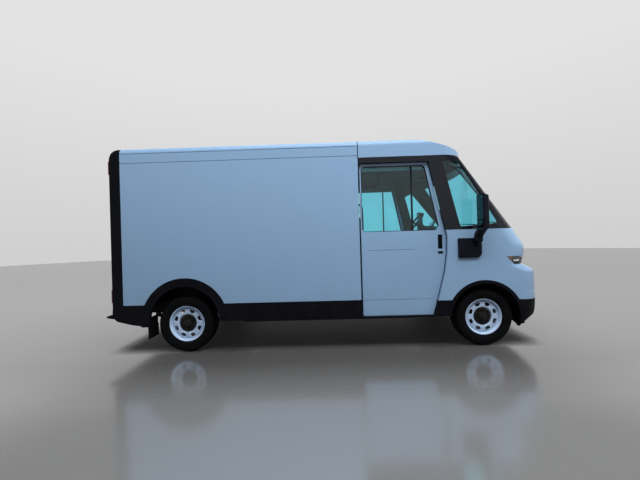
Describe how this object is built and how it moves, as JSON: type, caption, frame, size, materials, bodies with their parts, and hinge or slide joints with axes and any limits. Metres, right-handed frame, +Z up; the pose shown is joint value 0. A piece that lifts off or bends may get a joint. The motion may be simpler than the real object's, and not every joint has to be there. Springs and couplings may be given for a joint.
{
  "type": "electric walk-in cargo van",
  "caption": "Boxy electric delivery van with a raked bowed nose, sliding cab doors, twin hinged rear doors, black lower cladding and steered front wheels.",
  "frame": {"origin": "on the ground under the middle of the van's length, on its centre plane", "axes": "+X forward, +Y to the van's left, +Z up"},
  "size_m": [5.8844, 2.74, 2.7199],
  "materials": {
    "body_paint": "pale blue-white gloss paint",
    "wheel_paint": "satin white paint",
    "black_moulding": "grained black moulding",
    "gloss_black": "gloss black",
    "cab_glazing": "tinted glass",
    "lamp_lens": "clear lens over reflector",
    "tail_lens": "red lens",
    "tyre_rubber": "black tyre",
    "flap_rubber": "black rubber",
    "chassis_black": "black chassis coating",
    "battery_case": "bare cast case",
    "cast_metal": "cast and machined",
    "galvanised": "galvanised pressings",
    "lining": "light grey lining",
    "floor_cover": "ribbed floor covering",
    "dash_plastic": "soft dark plastic",
    "seat_fabric": "dark woven fabric"
  },
  "bodies": {
    "root": {"cargo_side_right": "body_paint", "cargo_side_left": "body_paint", "cargo_roof": "body_paint", "cab_roof": "body_paint", "nose_panel": "body_paint", "fender_right": "body_paint", "fender_left": "body_paint", "front_bumper": "black_moulding", "cladding_right": "black_moulding", "cladding_left": "black_moulding", "rear_surround": "black_moulding", "rear_step": "black_moulding", "cab_surround": "gloss_black", "cab_glass": "cab_glazing", "headlamps": "lamp_lens", "tail_lamps": "tail_lens", "door_pockets": "galvanised", "bulkhead": "lining", "cargo_floor": "floor_cover", "cab_floor": "floor_cover", "wheelhouses": "black_moulding", "chassis_frame": "chassis_black", "battery_pack": "battery_case", "drive_unit": "battery_case", "front_suspension": "cast_metal", "rear_axle": "cast_metal", "mudflaps": "flap_rubber", "dashboard": "dash_plastic", "seat_pedestal": "chassis_black", "driver_seat": "seat_fabric", "mirror_bases": "black_moulding", "charge_inlet": "black_moulding"},
    "knuckle_right": {"knuckle_right": "cast_metal"},
    "wheel_front_right": {"tyre_front_right": "tyre_rubber", "rim_front_right": "wheel_paint"},
    "wheel_rear_right": {"tyre_rear_right": "tyre_rubber", "rim_rear_right": "wheel_paint"},
    "cab_door_right": {"cab_door_right": "body_paint", "cab_door_glass_right": "cab_glazing"},
    "rear_door_right": {"rear_door_right": "body_paint"},
    "mirror_right": {"mirror_right": "black_moulding"},
    "knuckle_left": {"knuckle_left": "cast_metal"},
    "wheel_front_left": {"tyre_front_left": "tyre_rubber", "rim_front_left": "wheel_paint"},
    "wheel_rear_left": {"tyre_rear_left": "tyre_rubber", "rim_rear_left": "wheel_paint"},
    "cab_door_left": {"cab_door_left": "body_paint", "cab_door_glass_left": "cab_glazing"},
    "rear_door_left": {"rear_door_left": "body_paint"},
    "mirror_left": {"mirror_left": "black_moulding"},
    "steering_wheel": {"steering_wheel": "dash_plastic"},
    "charge_flap": {"charge_flap": "body_paint"}
  },
  "joints": [
    {"name": "steer_right", "type": "hinge", "parent": "root", "child": "knuckle_right", "pos_m": [2.068, -0.8505, 0.368], "axis": [0, 0, 1], "range_deg": [-35, 35]},
    {"name": "wheel_front_right_roll", "type": "hinge", "parent": "knuckle_right", "child": "wheel_front_right", "pos_m": [2.068, -0.9125, 0.368], "axis": [0, 1, 0], "continuous": true},
    {"name": "wheel_rear_right_roll", "type": "hinge", "parent": "root", "child": "wheel_rear_right", "pos_m": [-1.812, -0.9125, 0.368], "axis": [0, 1, 0], "continuous": true},
    {"name": "cab_door_right_slide", "type": "slide", "parent": "root", "child": "cab_door_right", "axis": [-1, 0, 0], "range_m": [0, 1]},
    {"name": "rear_door_right_hinge", "type": "hinge", "parent": "root", "child": "rear_door_right", "pos_m": [-2.777, -0.985, 1.6], "axis": [0, 0, 1], "range_deg": [0, 180]},
    {"name": "mirror_right_fold", "type": "hinge", "parent": "root", "child": "mirror_right", "pos_m": [1.968, -1.14, 1.34], "axis": [0, 0, -1], "range_deg": [0, 70]},
    {"name": "steer_left", "type": "hinge", "parent": "root", "child": "knuckle_left", "pos_m": [2.068, 0.8505, 0.368], "axis": [0, 0, 1], "range_deg": [-35, 35]},
    {"name": "wheel_front_left_roll", "type": "hinge", "parent": "knuckle_left", "child": "wheel_front_left", "pos_m": [2.068, 0.9125, 0.368], "axis": [0, 1, 0], "continuous": true},
    {"name": "wheel_rear_left_roll", "type": "hinge", "parent": "root", "child": "wheel_rear_left", "pos_m": [-1.812, 0.9125, 0.368], "axis": [0, 1, 0], "continuous": true},
    {"name": "cab_door_left_slide", "type": "slide", "parent": "root", "child": "cab_door_left", "axis": [-1, 0, 0], "range_m": [0, 1]},
    {"name": "rear_door_left_hinge", "type": "hinge", "parent": "root", "child": "rear_door_left", "pos_m": [-2.777, 0.985, 1.6], "axis": [0, 0, -1], "range_deg": [0, 180]},
    {"name": "mirror_left_fold", "type": "hinge", "parent": "root", "child": "mirror_left", "pos_m": [1.968, 1.14, 1.34], "axis": [0, 0, 1], "range_deg": [0, 70]},
    {"name": "steering_wheel_turn", "type": "hinge", "parent": "root", "child": "steering_wheel", "pos_m": [1.638, 0.43, 1.69], "axis": [-0.766, 0, 0.6428], "range_deg": [-500, 500]},
    {"name": "charge_flap_hinge", "type": "hinge", "parent": "root", "child": "charge_flap", "pos_m": [2.307, 1.064, 1.29], "axis": [0, 0, -1], "range_deg": [0, 100]}
  ],
  "couplings": [
    {"joint": "steer_left", "follows": "steer_right", "ratio": 1},
    {"joint": "steering_wheel_turn", "follows": "steer_right", "ratio": 14}
  ]
}
